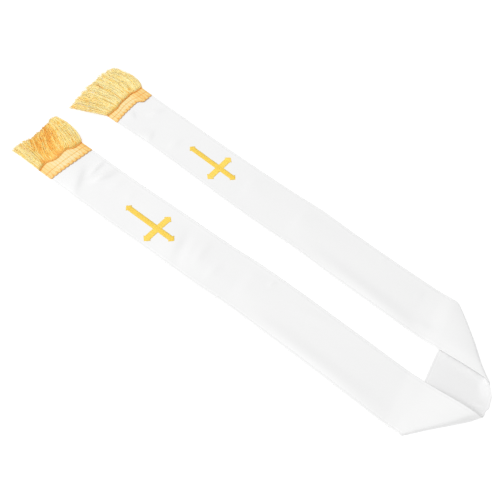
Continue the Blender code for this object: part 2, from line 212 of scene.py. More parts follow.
rightArm["creases"] = [
    (-407.0, 79.0, 148.0, 46.0, 3.0, 1.7, 26.0),
    (-372.0, 118.0, 62.0, 60.0, 8.0, 1.6, 0.0),
    (-326.0, 57.0, 114.5, 54.0, 4.0, 1.7, 34.0),
    (-268.0, 74.0, 84.0, 60.0, 9.0, 1.0, 0.0),
    (-62.0, 88.0, -80.0, 90.0, 9.0, 1.3, 55.0),
    (78.0, 86.0, -90.0, 104.0, 8.0, 1.3, 70.0),
    (280.0, 39.0, -2.5, 380.0, 14.0, 2.1, 0.0),
    (412.0, 45.0, 6.0, 58.0, 9.0, 0.9, 0.0),
    (370.0, 97.0, 60.0, 30.0, 4.0, 0.5, 0.0),
    (273.0, 122.0, 70.0, 30.0, 4.0, 0.5, 0.0),
]
# puckers where the neck is gathered between the two corner rolls
neckCreases = [
    (552.0, 6.0, -62.0, 24.0, 2.8, 1.0, 0.0),
    (554.0, -20.0, 16.0, 30.0, 3.0, 1.7, 0.0),
    (558.0, -31.0, 39.0, 26.0, 2.4, 1.1, 0.0),
    (503.0, -8.0, 4.0, 90.0, 14.0, 0.5, 0.0),
]
# the neck climbs to meet the inner edges of the arms that lie over it: x, how much of the room
# there it fills, and how far before the edge and behind it the climb runs
rightArm["climb"] = [
    (440.0, 0.90, 7.0, 3.0), (470.0, 0.70, 9.0, 4.0), (500.0, 0.65, 11.0, 6.0),
    (520.0, 0.68, 12.0, 10.0), (540.0, 0.70, 13.0, 16.0), (572.0, 0.70, 16.0, 20.0),
]
leftArm["climb"] = [
    (470.0, 0.20, 6.0, 10.0), (500.0, 0.35, 10.0, 14.0), (530.0, 0.45, 16.0, 18.0), (565.0, 0.40, 20.0, 20.0),
]
climbClear = 2.9  # kept between the middle of the neck and that of an arm over it
# its free edge stands up as a rim: y, how high, and where in x it starts
neckRim = [
    (-46.0, 6.0, 548.0), (-36.0, 3.5, 552.0), (-24.0, 2.0, 554.0), (-12.0, 2.2, 551.0),
    (0.0, 3.5, 546.0), (14.0, 6.0, 538.0), (30.0, 8.0, 530.0),
]
rimReach = 24.0
puckers = {"from": -43.0, "fromReach": 8.0, "to": 24.0, "toReach": 10.0}  # in y


def acrossArm(arm, x, across):
    middle = readColumn(arm["line"], x, 0)
    width = readColumn(arm["line"], x, 1)
    return middle + arm["side"] * (0.5 - across) * width


def alongAside(x, y, middleX, middleY, turn):
    # how far along a line through the middle, and to the left of it
    cosine, sine = math.cos(math.radians(turn)), math.sin(math.radians(turn))
    x, y = x - middleX, y - middleY
    return x * cosine + y * sine, y * cosine - x * sine


def creaseHeight(creases, x, y):
    total = np.zeros(np.broadcast(x, y).shape)
    for foldX, foldY, turn, length, width, height, reach in creases:
        along, aside = alongAside(x, y, foldX, foldY, turn)
        fade = ease(1 - np.abs(2 * along / length))
        if reach:
            shape = 0.5 * (1 + np.tanh(aside / width)) * np.exp(-((aside / reach) ** 2))
        else:
            shape = np.exp(-((aside / width) ** 2))
        total = total + height * fade * shape
    return total


def rollRadius(arm, across):
    return readColumn(arm["radius"], across)


def rollBow(arm, across):
    return readColumn(arm["bow"], across)


def rollPlace(arm, across, turn):
    # turn is 0 where the roll leaves its arm and 1 where it meets the neck; where the roll opens,
    # at the inner edge, its lower half runs straight down to the neck
    place = roundPlace(arm, across, turn)
    middle, foot = (roundPlace(arm, across, 0.0 * turn + end) for end in (0.5, 1.0))
    below = np.maximum(0.0, 2 * turn - 1)[..., None]
    straight = blend(middle, foot, 0.5 * (below + ease(below)))
    openShare = arm["open"] * ease((across - rollForm["openStart"]) / rollForm["openReach"]) * (turn > 0.5)
    return blend(place, straight, openShare[..., None])


def roundPlace(arm, across, turn):
    ends = []
    for edge in (0.0, 1.0):
        x = blend(*arm["cornerX"], edge)
        ends.append(np.array([x, acrossArm(arm, x, edge)]))
    fold = ends[1] - ends[0]
    outward = np.array([abs(fold[1]), arm["side"] * abs(fold[0])])
    outward = outward / np.linalg.norm(fold)
    slant = abs(fold[0] / fold[1])
    radius = rollRadius(arm, across)
    angle = math.pi * (turn - 0.5)
    rounder = ease((across - rollForm["roundStart"]) / rollForm["roundReach"])
    pressed = 1 - rollForm["round"] * rounder
    section = np.moveaxis(readCurve(arm["section"], turn), -1, 0)
    outwards = blend(np.cos(angle), section[0], pressed)
    heights = blend(1 - np.sin(angle), section[1], pressed)
    slide = math.pi * turn * radius * slant / np.linalg.norm(fold)
    plan = ends[0] + fold * (across + slide)[..., None]
    plan = plan + outward * (radius * outwards)[..., None]
    height = strip["half"] + radius * heights
    mouth = arm["mouth"] * across ** strip["mouthPower"] * np.maximum(0.0, 2 * turn - 1)
    return np.stack([plan[..., 0] + rollBow(arm, across) + mouth, plan[..., 1], height], -1)


def neckOuterX(y):
    start = rollPlace(leftArm, np.array(0.0), np.array(1.0))
    end = rollPlace(rightArm, np.array(0.0), np.array(1.0))
    return blend(start[0], end[0], (y - start[1]) / (end[1] - start[1]))


def armHeight(arm, x, across):
    y = acrossArm(arm, x, across)
    cornerX = blend(*arm["cornerX"], across) + rollBow(arm, across)
    overlap = cornerX - neckOuterX(y)
    stepDown = 1 - ease((cornerX - x - overlap - strip["dropStart"]) / strip["dropLength"])
    loftDown = 1 - ease((cornerX - x) / (overlap + arm["loftTail"]))
    loft = 2 * rollRadius(arm, across) - strip["overlapLift"]
    lift = strip["overlapLift"] * stepDown + loft * loftDown
    short, long = sway["pitch"]
    wave = sway["rise"] * np.sin(x / short + sway["skew"] * across) * np.sin(x / long + sway["start"])
    wave = wave + sway["rise"]
    inner = ease(np.minimum(across, 1 - across) / sway["edge"])
    loose = sway["edgeShare"] + (1 - sway["edgeShare"]) * inner
    crease = creaseScale * creaseHeight(arm["creases"], x, y) + wave
    return strip["half"] + lift + crease * (1 - stepDown) * loose


def armPlace(arm, x, across, lift=0.0):
    # a place above an arm's middle surface
    height = armHeight(arm, x, across) + lift
    return np.stack([x + 0.0 * height, acrossArm(arm, x, across), height], -1)


def armRulings(arm, shares, across):
    edges = [blend(arm["endX"][edge], arm["cornerX"][edge], shares[:, None]) for edge in (0, 1)]
    bend = ease(1 - (1 - shares[:, None]) / strip["bowReach"])
    x = blend(*edges, across[None, :]) + bend * rollBow(arm, across)[None, :]
    return armPlace(arm, x, across[None, :] + 0.0 * x)


def neckRulings(steps, across):
    start = rollPlace(leftArm, across, np.ones_like(across))
    end = rollPlace(rightArm, across, np.ones_like(across))
    innerRows = [(0.0, *start[-1][:2]), (0.5, *strip["neckInner"]), (1.0, *end[-1][:2])]
    rows = []
    for share in steps:
        outer = blend(start[0], end[0], share)
        inner = np.array([*readCurve(innerRows, share), strip["half"]])
        rows.append(outer + (inner - outer) * across[:, None])
    return np.array(rows)


def neckLift(places):
    # how far the gathers lift the neck towards the arms over it; near the corner rolls the layers
    # still cut into each other, by up to about 1.3 mm where it was measured
    x, y = places[..., 0], places[..., 1]
    lift = 0.0 * x
    for arm in (leftArm, rightArm):
        width = readColumn(arm["line"], x, 1)
        past = arm["side"] * (y - acrossArm(arm, x, 1.0))  # positive under the arm
        across = np.clip(1 - past / width, 0, 1)
        low, high = arm["climb"][0][0], arm["climb"][-1][0]
        share, before, behind = np.moveaxis(readCurve(arm["climb"], np.clip(x, low, high)), -1, 0)
        cornerX = blend(*arm["cornerX"], across)
        room = armHeight(arm, np.minimum(x, cornerX), across) - strip["half"] - climbClear
        climb = ease((past + before) / (before + behind))
        lift = lift + np.maximum(room, 0.0) * share * climb
    rim, start = np.moveaxis(readCurve(neckRim, np.clip(y, neckRim[0][0], neckRim[-1][0])), -1, 0)
    rim = rim * ease((x - start) / rimReach)
    lift = (lift ** 3 + rim ** 3) ** (1 / 3)
    ends = ease((y - puckers["from"]) / puckers["fromReach"])
    ends = ends * ease((puckers["to"] - y) / puckers["toReach"])
    return lift + creaseHeight(neckCreases, x, y) * ends


def raiseNeck(places):
    lift = neckLift(places)
    edge = ease((places[..., 0] - strip["leanStart"]) / strip["leanReach"])
    lean = np.stack([strip["lean"][0] * edge, strip["lean"][1] * edge, np.ones_like(edge)], -1)
    return places + lean * lift[..., None]


def stripGrid(across):
    # every ruling from the left fringe round the neck to the right fringe
    shares = 1 - (1 - np.linspace(0, 1, strip["armRows"] + 1)) ** strip["armCrowding"]
    turns = np.arange(1, strip["rollRows"] + 1) / strip["rollRows"]
    steps = 0.5 - 0.5 * np.cos(math.pi * np.arange(1, strip["neckRows"]) / strip["neckRows"])
    rolls = []
    for arm in (leftArm, rightArm):
        roll = np.array([rollPlace(arm, across, turn + 0.0 * across) for turn in turns])
        raised = raiseNeck(roll[-1]) - roll[-1]
        rolls.append(roll + raised * ease(2 * turns - 1)[:, None, None])
    neck = raiseNeck(neckRulings(steps, across))
    left, right = (armRulings(arm, shares, across) for arm in (leftArm, rightArm))
    grid = np.concatenate([left, rolls[0], neck, rolls[1][::-1], right[::-1]])
    rows = np.arange(1, len(grid) - 1)
    foot = len(left) + len(turns) - 1
    nearFoot = np.minimum(np.abs(rows - foot), np.abs(rows - foot - len(neck) - 1))
    soften = np.exp(-((nearFoot / strip["softRows"]) ** 2))[:, None, None]
    for _ in range(strip["softTimes"]):
        softer = 0.25 * (grid[:-2] + 2 * grid[1:-1] + grid[2:])
        grid[1:-1] = blend(grid[1:-1], softer, soften)
    return grid


def rowPlaces(points):
    # from the strip's own millimetres to the frame's metres
    return (points + shift) * mm


low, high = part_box("front_panel")
leftEdge = acrossArm(leftArm, leftArm["endX"][0], 0.0)
shift = np.array([low.x / mm - leftArm["endX"][0], low.y / mm - leftEdge, 0.0])
print("strip laid out, shifted by", np.round(shift, 2))


class Value:
    # one output of a node, so that sums on it are written as Python

    def __init__(self, tree, socket):
        self.tree = tree
        self.socket = socket

    def maths(self, operation, first, second):
        node = self.tree.nodes.new("ShaderNodeMath")
        node.operation = operation
        for socket, value in zip(node.inputs, (first, second)):
            plug(self.tree, socket, value)
        return Value(self.tree, node.outputs[0])

    def __add__(self, other):
        return self.maths("ADD", self, other)

    def __radd__(self, other):
        return self.maths("ADD", other, self)

    def __sub__(self, other):
        return self.maths("SUBTRACT", self, other)

    def __rsub__(self, other):
        return self.maths("SUBTRACT", other, self)

    def __mul__(self, other):
        return self.maths("MULTIPLY", self, other)

    def __rmul__(self, other):
        return self.maths("MULTIPLY", other, self)


def plug(tree, socket, value):
    if isinstance(value, Value):
        tree.links.new(value.socket, socket)
    else:
        socket.default_value = value


class Finish:
    # a material with one Principled shader; what is the same all over is set on its own sockets

    def __init__(self, name, **plain):
        self.material = bpy.data.materials.new(name)
        self.material.use_nodes = True
        self.tree = self.material.node_tree
        self.shader = self.tree.nodes["Principled BSDF"]
        for socket, value in plain.items():
            self.shader.inputs[socket.replace("_", " ")].default_value = value

    def node(self, kind, settings, output, **values):
        node = self.tree.nodes.new(kind)
        for name, value in settings.items():
            if name == "stops":
                self.setStops(node.color_ramp, value)
            else:
                setattr(node, name, value)
        for name, value in values.items():
            plug(self.tree, node.inputs[name.replace("_", " ")], value)
        return Value(self.tree, node.outputs[output])

    def setStops(self, ramp, stops):
        while len(ramp.elements) < len(stops):
            ramp.elements.new(0.5)
        for element, (position, colour) in zip(ramp.elements, stops):
            element.position = position
            element.color = (*colour, 1.0)

    def uv(self, scale):
        place = self.node("ShaderNodeUVMap", {"uv_map": "cloth"}, 0)
        return self.node("ShaderNodeMapping", {}, 0, Vector=place, Scale=scale)

    def attribute(self, name):
        return self.node("ShaderNodeAttribute", {"attribute_name": name}, "Fac")

    def noise(self, place, scale, detail):
        settings = {"noise_dimensions": "3D"}
        values = {"Vector": place, "Scale": scale, "Detail": detail}
        return self.node("ShaderNodeTexNoise", settings, "Fac", **values)

    def bump(self, height, distance, strength):
        values = {"Height": height, "Distance": distance, "Strength": strength}
        return self.node("ShaderNodeBump", {}, 0, **values)

    def set(self, socket, value):
        plug(self.tree, self.shader.inputs[socket], value)


satinLooks = {
    "front": (0.887, 0.887, 0.888),
    "frontWarm": (0.898, 0.898, 0.896),
    # the lining is the same white satin as the front: its two shades are a little darker only as painted
    # shade, for the neck lying under the arms
    "lining": (0.870, 0.870, 0.872),
    "liningShadedWarm": (0.884, 0.883, 0.882),
    "roughness": 0.46,
    "warpThread": 0.00032,  # the fine warp of the weave, in metres
    "warpFloat": 0.0045,
    "bumpHeight": 0.00003,
}


def satinFinish(name, shade, warmShade):
    looks = satinLooks
    finish = Finish(name, IOR=1.45, Sheen_Weight=0.12, Sheen_Roughness=0.45)
    cloud = finish.noise(finish.uv((9.0, 22.0, 1.0)), 1.0, 3.0)
    warp = finish.uv((1.0 / looks["warpFloat"], 1.0 / looks["warpThread"], 1.0))
    threads = finish.noise(warp, 1.0, 1.0)
    slub = finish.noise(finish.uv((40.0, 900.0, 1.0)), 1.0, 2.0)
    stops = {"stops": [(0.35, shade), (0.65, warmShade)]}
    colour = finish.node("ShaderNodeValToRGB", stops, "Color", Fac=cloud * 0.7 + slub * 0.3)
    finish.set("Base Color", colour)
    finish.set("Roughness", looks["roughness"] + (threads - 0.5) * 0.16 + (cloud - 0.5) * 0.08)
    finish.set("Normal", finish.bump(threads + slub * 0.6, looks["bumpHeight"], 0.6))
    return finish.material


goldLooks = {
    # shades from the palest thread to the deepest
    "stitch": [(1.0, 0.86, 0.30), (1.0, 0.74, 0.12), (1.0, 0.62, 0.06), (0.90, 0.40, 0.03)],
    "braid": [(0.95, 0.80, 0.46), (0.95, 0.70, 0.27), (0.94, 0.53, 0.13), (0.89, 0.36, 0.05)],
    "fringe": [(1.0, 0.88, 0.46), (1.0, 0.77, 0.24), (1.0, 0.58, 0.10), (0.92, 0.38, 0.04)],
    "roughness": 0.45,
}


def goldFinish(name, shades, twist, sheen):
    # rayon thread: its shade comes from the tone kept on each thread, its twist from the UV map
    looks = goldLooks
    finish = Finish(name, IOR=1.5, Sheen_Weight=sheen, Sheen_Roughness=0.35)
    finish.set("Sheen Tint", (1.0, 0.82, 0.48, 1.0))
    tone = finish.attribute("tone")
    stops = list(zip((0.0, 0.35, 0.7, 1.0), looks[shades]))
    fleck = finish.noise(finish.uv((500.0, 500.0, 1.0)), 1.0, 2.0)
    colour = finish.node("ShaderNodeValToRGB", {"stops": stops}, "Color", Fac=tone + (fleck - 0.5) * 0.16)
    finish.set("Base Color", colour)
    plies = finish.node(
        "ShaderNodeTexWave", {"wave_type": "BANDS", "bands_direction": "DIAGONAL"}, "Fac",
        Vector=finish.uv((twist, twist, 1.0)), Scale=1.0, Distortion=0.6,
    )
    finish.set("Roughness", looks["roughness"] + (fleck - 0.5) * 0.2)
    finish.set("Normal", finish.bump(plies, 0.00012, 0.2))
    return finish.material


satinMaterial = satinFinish("whiteSatin", satinLooks["front"], satinLooks["frontWarm"])
# the lining's finish is a darker copy of the satin's: painted shade
liningShadedMaterial = satinFinish("whiteLiningShaded", satinLooks["lining"], satinLooks["liningShadedWarm"])
stitchMaterial = goldFinish("goldSatinStitch", "stitch", 900.0, 0.05)
braidMaterial = goldFinish("goldBraid", "braid", 700.0, 0.15)
fringeMaterial = goldFinish("goldFringe", "fringe", 420.0, 0.0)
print("finishes mixed")


def finishPiece(piece, name, material):
    piece.name = name
    piece.data.name = name
    piece.data.materials.clear()
    piece.data.materials.append(material)
    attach(piece, "root")
    return piece


def applyModifier(piece, kind, name, **settings):
    modifier = piece.modifiers.new(name, kind)
    for key, value in settings.items():
        setattr(modifier, key, value)
    bpy.ops.object.select_all(action="DESELECT")
    bpy.context.view_layer.objects.active = piece
    piece.select_set(True)
    bpy.ops.object.modifier_apply(modifier=name)


def sheetOver(places, flat):
    # a grid laid over rows of places, in metres, with its cut as its UV map
    rows, columns = places.shape[0] - 1, places.shape[1] - 1
    bpy.ops.mesh.primitive_grid_add(x_subdivisions=columns, y_subdivisions=rows, size=1.0)
    piece = bpy.context.object
    mesh = piece.data
    flatGrid = np.zeros(len(mesh.vertices) * 3)
    mesh.vertices.foreach_get("co", flatGrid)
    flatGrid = flatGrid.reshape(-1, 3)
    column = np.rint((flatGrid[:, 0] + 0.5) * columns).astype(int)
    row = np.rint((flatGrid[:, 1] + 0.5) * rows).astype(int)
    mesh.vertices.foreach_set("co", places[row, column].ravel())
    corner = np.zeros(len(mesh.loops), int)
    mesh.loops.foreach_get("vertex_index", corner)
    uvLayer = mesh.uv_layers[0]
    uvLayer.name = "cloth"
    uvLayer.data.foreach_set("uv", flat[row, column][corner].ravel())
    mesh.shade_smooth()
    mesh.update()
    return piece, row, column


def gridNormals(places):
    along = np.gradient(places, axis=0)
    over = np.gradient(places, axis=1)
    return unit(np.cross(along, over))


def flatMap(places):
    # how far along and across the cut each place is, in metres
    middle = places[:, places.shape[1] // 2]
    along = np.concatenate([[0.0], np.cumsum(np.linalg.norm(np.diff(middle, axis=0), axis=1))])
    across = np.cumsum(np.linalg.norm(np.diff(places, axis=1), axis=2), axis=1)
    across = np.concatenate([np.zeros((len(places), 1)), across], axis=1)
    return np.stack([along[:, None] + 0.0 * across, across], -1)


cloth = {
    "wall": 0.5,
    "edgeRound": 1.1,
    "hemWidth": 9.5,  # the seam allowance inside makes the border a little thicker
    "hemRise": 0.2,
    "topstitch": 4.5,
    "groove": 0.3,
    "grooveHalf": 0.75,
    "hemStart": 2.5,
    "hemFade": 3.0,
    "seamOffset": 0.1,
}


def edgeColumns():
    # places across the strip, close together along the edges, as fractions of its width
    near = np.array([0.0, 0.15, 0.4, 0.8, 1.3, 2.0, 3.0, 3.8, 4.5, 5.2, 6.2, 7.6, 9.0, 10.6, 12.6])
    near = near / strip["width"]
    middle = np.linspace(near[-1], 1 - near[-1], 25)[1:-1]
    return np.concatenate([near, middle, 1 - near[::-1]])


def panelOffset(across, hemRise):
    # how far a panel's outer face stands off the strip's middle, by the distance from the edge
    inside = np.minimum(across, 1 - across) * strip["width"]
    rounding = np.clip(inside / cloth["edgeRound"], 0, 1)
    offset = blend(cloth["seamOffset"], strip["half"], np.sqrt(1 - (1 - rounding) ** 2))
    fade = ease((inside - cloth["hemWidth"] + cloth["hemFade"] / 2) / cloth["hemFade"])
    offset = offset + hemRise * ease(inside / cloth["hemStart"]) * (1 - fade)
    return offset - cloth["groove"] * np.exp(-(((inside - cloth["topstitch"]) / cloth["grooveHalf"]) ** 2))


def makeCloth():
    across = edgeColumns()
    middle = stripGrid(across)
    normal = gridNormals(middle)
    flat = flatMap(middle) * mm
    pieces = []
    for name, side, hemRise, material, slot, node in (
        ("frontCloth", 1.0, cloth["hemRise"], satinMaterial, "satin", "front_panel"),
        ("backCloth", -1.0, 0.0, liningShadedMaterial, "lining", "back_panel"),
    ):
        places = middle + normal * (side * panelOffset(across, hemRise))[None, :, None]
        places[..., 2] = np.maximum(places[..., 2], 0.0)
        piece, _, _ = sheetOver(rowPlaces(places), flat)
        outward = piece.data.polygons[0].normal.z * side
        if outward < 0:
            piece.data.flip_normals()
        applyModifier(piece, "SOLIDIFY", "wall", thickness=cloth["wall"] * mm, offset=-1.0)
        finishPiece(piece, name, material)
        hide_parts(node)
        pieces.append(piece)
    return pieces


frontCloth, backCloth = makeCloth()
print("cloth laid:", len(frontCloth.data.polygons), "faces on the front")


def clothTop(arm, x, across, lift=0.0):
    # a place on the front satin of an arm
    hem = panelOffset(across, cloth["hemRise"])
    return armPlace(arm, x, across, hem + lift)


def modelStrand(sides, cuts):
    bpy.ops.mesh.primitive_cylinder_add(vertices=sides, radius=1.0, depth=1.0, location=(0, 0, 0))
    piece = bpy.context.object
    mesh = piece.data
    bpy.ops.object.mode_set(mode="EDIT")
    bpy.ops.mesh.select_mode(type="EDGE")
    bpy.ops.mesh.select_all(action="DESELECT")
    bpy.ops.object.mode_set(mode="OBJECT")
    for edge in mesh.edges:
        ends = [mesh.vertices[k].co.z for k in edge.vertices]
        edge.select = abs(ends[0] - ends[1]) > 0.5
    bpy.ops.object.mode_set(mode="EDIT")
    bpy.ops.mesh.subdivide(number_cuts=cuts)
    bpy.ops.object.mode_set(mode="OBJECT")
    points = np.array([tuple(v.co) for v in mesh.vertices])
    faces = [tuple(p.vertices) for p in mesh.polygons]
    bpy.data.objects.remove(piece)
    station = np.rint((points[:, 2] + 0.5) * (cuts + 1)).astype(int)
    angle = np.arctan2(points[:, 1], points[:, 0])
    return {"station": station, "angle": angle, "faces": faces, "stations": cuts + 2}


def drawThreads(name, strand, paths, radius, tone, flatten, material):
    # paths is threads by stations by 3, in millimetres; radius and tone are threads by stations
    count = len(paths)
    tangent = unit(np.gradient(paths, axis=1))
    side = unit(np.cross(tangent, np.array([0.0, 0.0, 1.0])))
    over = np.cross(side, tangent)
    station, angle = strand["station"], strand["angle"]
    around = side[:, station] * np.cos(angle)[None, :, None]
    around = around + over[:, station] * (np.sin(angle) * flatten)[None, :, None]
    points = paths[:, station] + around * radius[:, station][..., None]
    points = rowPlaces(points).reshape(-1, 3)
    perThread = len(station)
    faces = [[k + thread * perThread for k in face] for thread in range(count) for face in strand["faces"]]
    mesh = bpy.data.meshes.new(name)
    mesh.from_pydata(points.tolist(), [], faces)
    toneLayer = mesh.attributes.new("tone", "FLOAT", "POINT")
    toneLayer.data.foreach_set("value", tone[:, station].astype(np.float32).ravel())
    length = np.linalg.norm(np.diff(paths, axis=1), axis=2).sum(axis=1)
    runs = length[:, None] * station[None, :] / (strand["stations"] - 1)
    girth = radius[:, station] * (angle[None, :] + math.pi)
    uvPoint = np.stack([runs + 7.0 * np.arange(count)[:, None], girth], -1).reshape(-1, 2) * mm
    corner = np.zeros(len(mesh.loops), int)
    mesh.loops.foreach_get("vertex_index", corner)
    uvLayer = mesh.uv_layers.new(name="cloth")
    uvLayer.data.foreach_set("uv", uvPoint[corner].ravel())
    mesh.shade_smooth()
    piece = bpy.data.objects.new(name, mesh)
    bpy.context.scene.collection.objects.link(piece)
    return finishPiece(piece, name, material)


topstitch = {"pitch": 2.8, "length": 2.1, "radius": 0.16, "rise": 0.22, "fromEnd": 50.0, "fromRoll": 2.0}


def makeTopstitch():
    strand = modelStrand(4, 3)
    share = np.linspace(0, 1, strand["stations"])
    paths = []
    for arm in (leftArm, rightArm):
        for across in (cloth["topstitch"] / strip["width"], 1 - cloth["topstitch"] / strip["width"]):
            firstX = blend(*arm["endX"], across) + topstitch["fromEnd"]
            lastX = blend(*arm["cornerX"], across) - topstitch["fromRoll"]
            starts = np.arange(firstX, lastX, topstitch["pitch"])
            x = starts[:, None] + share[None, :] * topstitch["length"]
            path = armPlace(arm, x, across + 0.0 * x, strip["half"] - cloth["groove"] + cloth["hemRise"])
            path[..., 2] += topstitch["rise"] * np.sin(math.pi * share)[None, :]
            paths.append(path)
    paths = np.concatenate(paths)
    swell = (0.45 + 0.55 * np.sin(math.pi * share))[None, :]
    radius = topstitch["radius"] * swell + np.zeros(paths.shape[:2])
    tone = np.zeros(paths.shape[:2])
    return drawThreads("topstitching", strand, paths, radius, tone, 0.8, satinMaterial)


edgeStitches = makeTopstitch()
print("edges topstitched:", len(edgeStitches.data.polygons), "faces")


cross = {
    "head": 49.0,
    "foot": 94.5,
    "arm": 39.5,
    "uprightHalf": 6.1,
    "crosspieceHalf": 7.4,
    "point": 9.0,
    "flare": 3.2,
    "step": 1.5,
    "pitch": 0.42,
    "thread": 0.38,
    "dome": 0.4,
    "tuck": 0.6,  # how far an arm's stitches run under the upright's
    "tone": 0.41,
}
crossPlaces = {
    "left": {"arm": leftArm, "x": -138.0, "across": 0.435, "turn": -1.7},
    "right": {"arm": rightArm, "x": -141.0, "across": 0.5, "turn": -0.5},
}


def limbHalf(out, length, half):
    # half the width of a limb at a distance out from the crossing: straight, then a flared point
    shoulder = length - cross["point"]
    flared = half + cross["flare"]
    grown = blend(half, flared, np.clip((out - shoulder + cross["step"]) / cross["step"], 0, 1))
    pointed = flared * np.clip((length - out) / cross["point"], 0, 1)
    return np.where(out < shoulder, grown, pointed)


def limbStitches(length, half, start, heading):
    # stitches across one limb, in the cross's own plane: their middles, half widths and direction
    out = np.arange(start, length - 0.4, cross["pitch"])
    reach = limbHalf(out, length, half)
    along = np.array([math.cos(heading), math.sin(heading)])
    aside = np.array([-along[1], along[0]])
    return out[:, None] * along, reach, np.repeat(aside[None], len(out), 0)


def makeCross(side):
    place = crossPlaces[side]
    arm = place["arm"]
    strand = modelStrand(4, 7)
    share = np.linspace(-1, 1, strand["stations"])
    upright, crosspiece = cross["uprightHalf"], cross["crosspieceHalf"]
    limbs = [
        limbStitches(cross["head"], upright, -crosspiece, 0.0),
        limbStitches(cross["arm"], crosspiece, upright - cross["tuck"], math.pi / 2),
        limbStitches(cross["foot"], upright, crosspiece, math.pi),
        limbStitches(cross["arm"], crosspiece, upright - cross["tuck"], -math.pi / 2),
    ]
    middle, reach, aside = (np.concatenate(parts) for parts in zip(*limbs))
    count = len(middle)
    ragged = 1 + 0.03 * rng.standard_normal(count)
    flat = middle[:, None] + aside[:, None] * (share[None, :] * (reach * ragged)[:, None])[..., None]
    flat = flat + 0.05 * rng.standard_normal((count, 1, 2))
    turn = math.radians(place["turn"])
    x = place["x"] + flat[..., 0] * math.cos(turn) - flat[..., 1] * math.sin(turn)
    off = flat[..., 0] * math.sin(turn) + flat[..., 1] * math.cos(turn)
    width = readColumn(arm["line"], place["x"], 1)
    across = place["across"] - arm["side"] * off / width
    full = np.clip(reach / cross["uprightHalf"], 0.3, 1.0)[:, None]
    rise = cross["dome"] * full * (1 - np.abs(share[None, :]) ** 3) + 0.06 * rng.random((count, 1))
    paths = armPlace(arm, x, across, strip["half"] + rise)
    radius = cross["thread"] * (1 - 0.35 * np.abs(share[None, :]) ** 6) + np.zeros((count, 1))
    tone = cross["tone"] + 0.05 * rng.standard_normal((count, 1)) - 0.10 * np.abs(share[None, :]) ** 4
    name = "stitchedCross" + side.capitalize()
    piece = drawThreads(name, strand, paths, radius, tone, 0.8, stitchMaterial)
    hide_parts("cross_" + side)
    return piece


crosses = [makeCross(side) for side in crossPlaces]
print("crosses stitched:", len(crosses[0].data.polygons), "faces each")


braid = {
    "ribPitch": 2.57,
    "ribRise": 0.42,
    "thick": 0.85,
    "gimpWidth": 6.0,
    "gimpRise": 0.5,
    "teeth": 11,
    "toothDepth": 2.8,
    "wall": 0.6,
    "cordRadius": 1.25,
    "margin": 0.3,
}
braidShapes = {
    "left": {
        "arm": leftArm,
        # across, x of the toothed side
        "top": [(0.0, -415.5), (0.5, -410.5), (1.0, -407.5)],
        # across, x of the cord that the strands hang from
        "cord": [
            (0.0, -452.0), (0.12, -455.5), (0.22, -456.0), (0.33, -448.0), (0.45, -446.0),
            (0.58, -449.0), (0.68, -448.5), (0.77, -441.0), (0.9, -439.5), (1.0, -441.0),
        ],
        # across, x of the stitch line, how orange the band is, how far it is lifted
        "band": [
            (0.0, -431.0, 0.34, 0.0), (0.15, -430.5, 0.24, 0.3), (0.3, -429.5, 0.04, 0.5),
            (0.6, -427.5, 0.02, 0.6), (0.8, -426.5, 0.16, 0.5), (0.93, -425.5, 0.42, 0.6),
            (1.0, -425.0, 0.42, 0.0),
        ],
    },
    "right": {
        "arm": rightArm,
        "top": [(0.0, -421.5), (0.27, -421.5), (0.32, -431.0), (0.6, -430.0), (1.0, -423.0)],
        "cord": [
            (0.0, -457.5), (0.18, -458.0), (0.28, -462.0), (0.4, -461.0), (0.56, -459.5),
            (0.66, -456.5), (0.74, -453.0), (0.85, -453.5), (1.0, -453.5),
        ],
        "band": [
            (0.0, -438.0, 0.22, 0.0), (0.12, -439.0, 0.40, 0.9), (0.26, -441.0, 0.36, 1.1),
            (0.38, -446.0, 0.10, 0.5), (0.6, -445.5, 0.06, 0.4), (0.8, -440.0, 0.12, 0.5),
            (1.0, -438.5, 0.20, 0.0),
        ],
    },
}


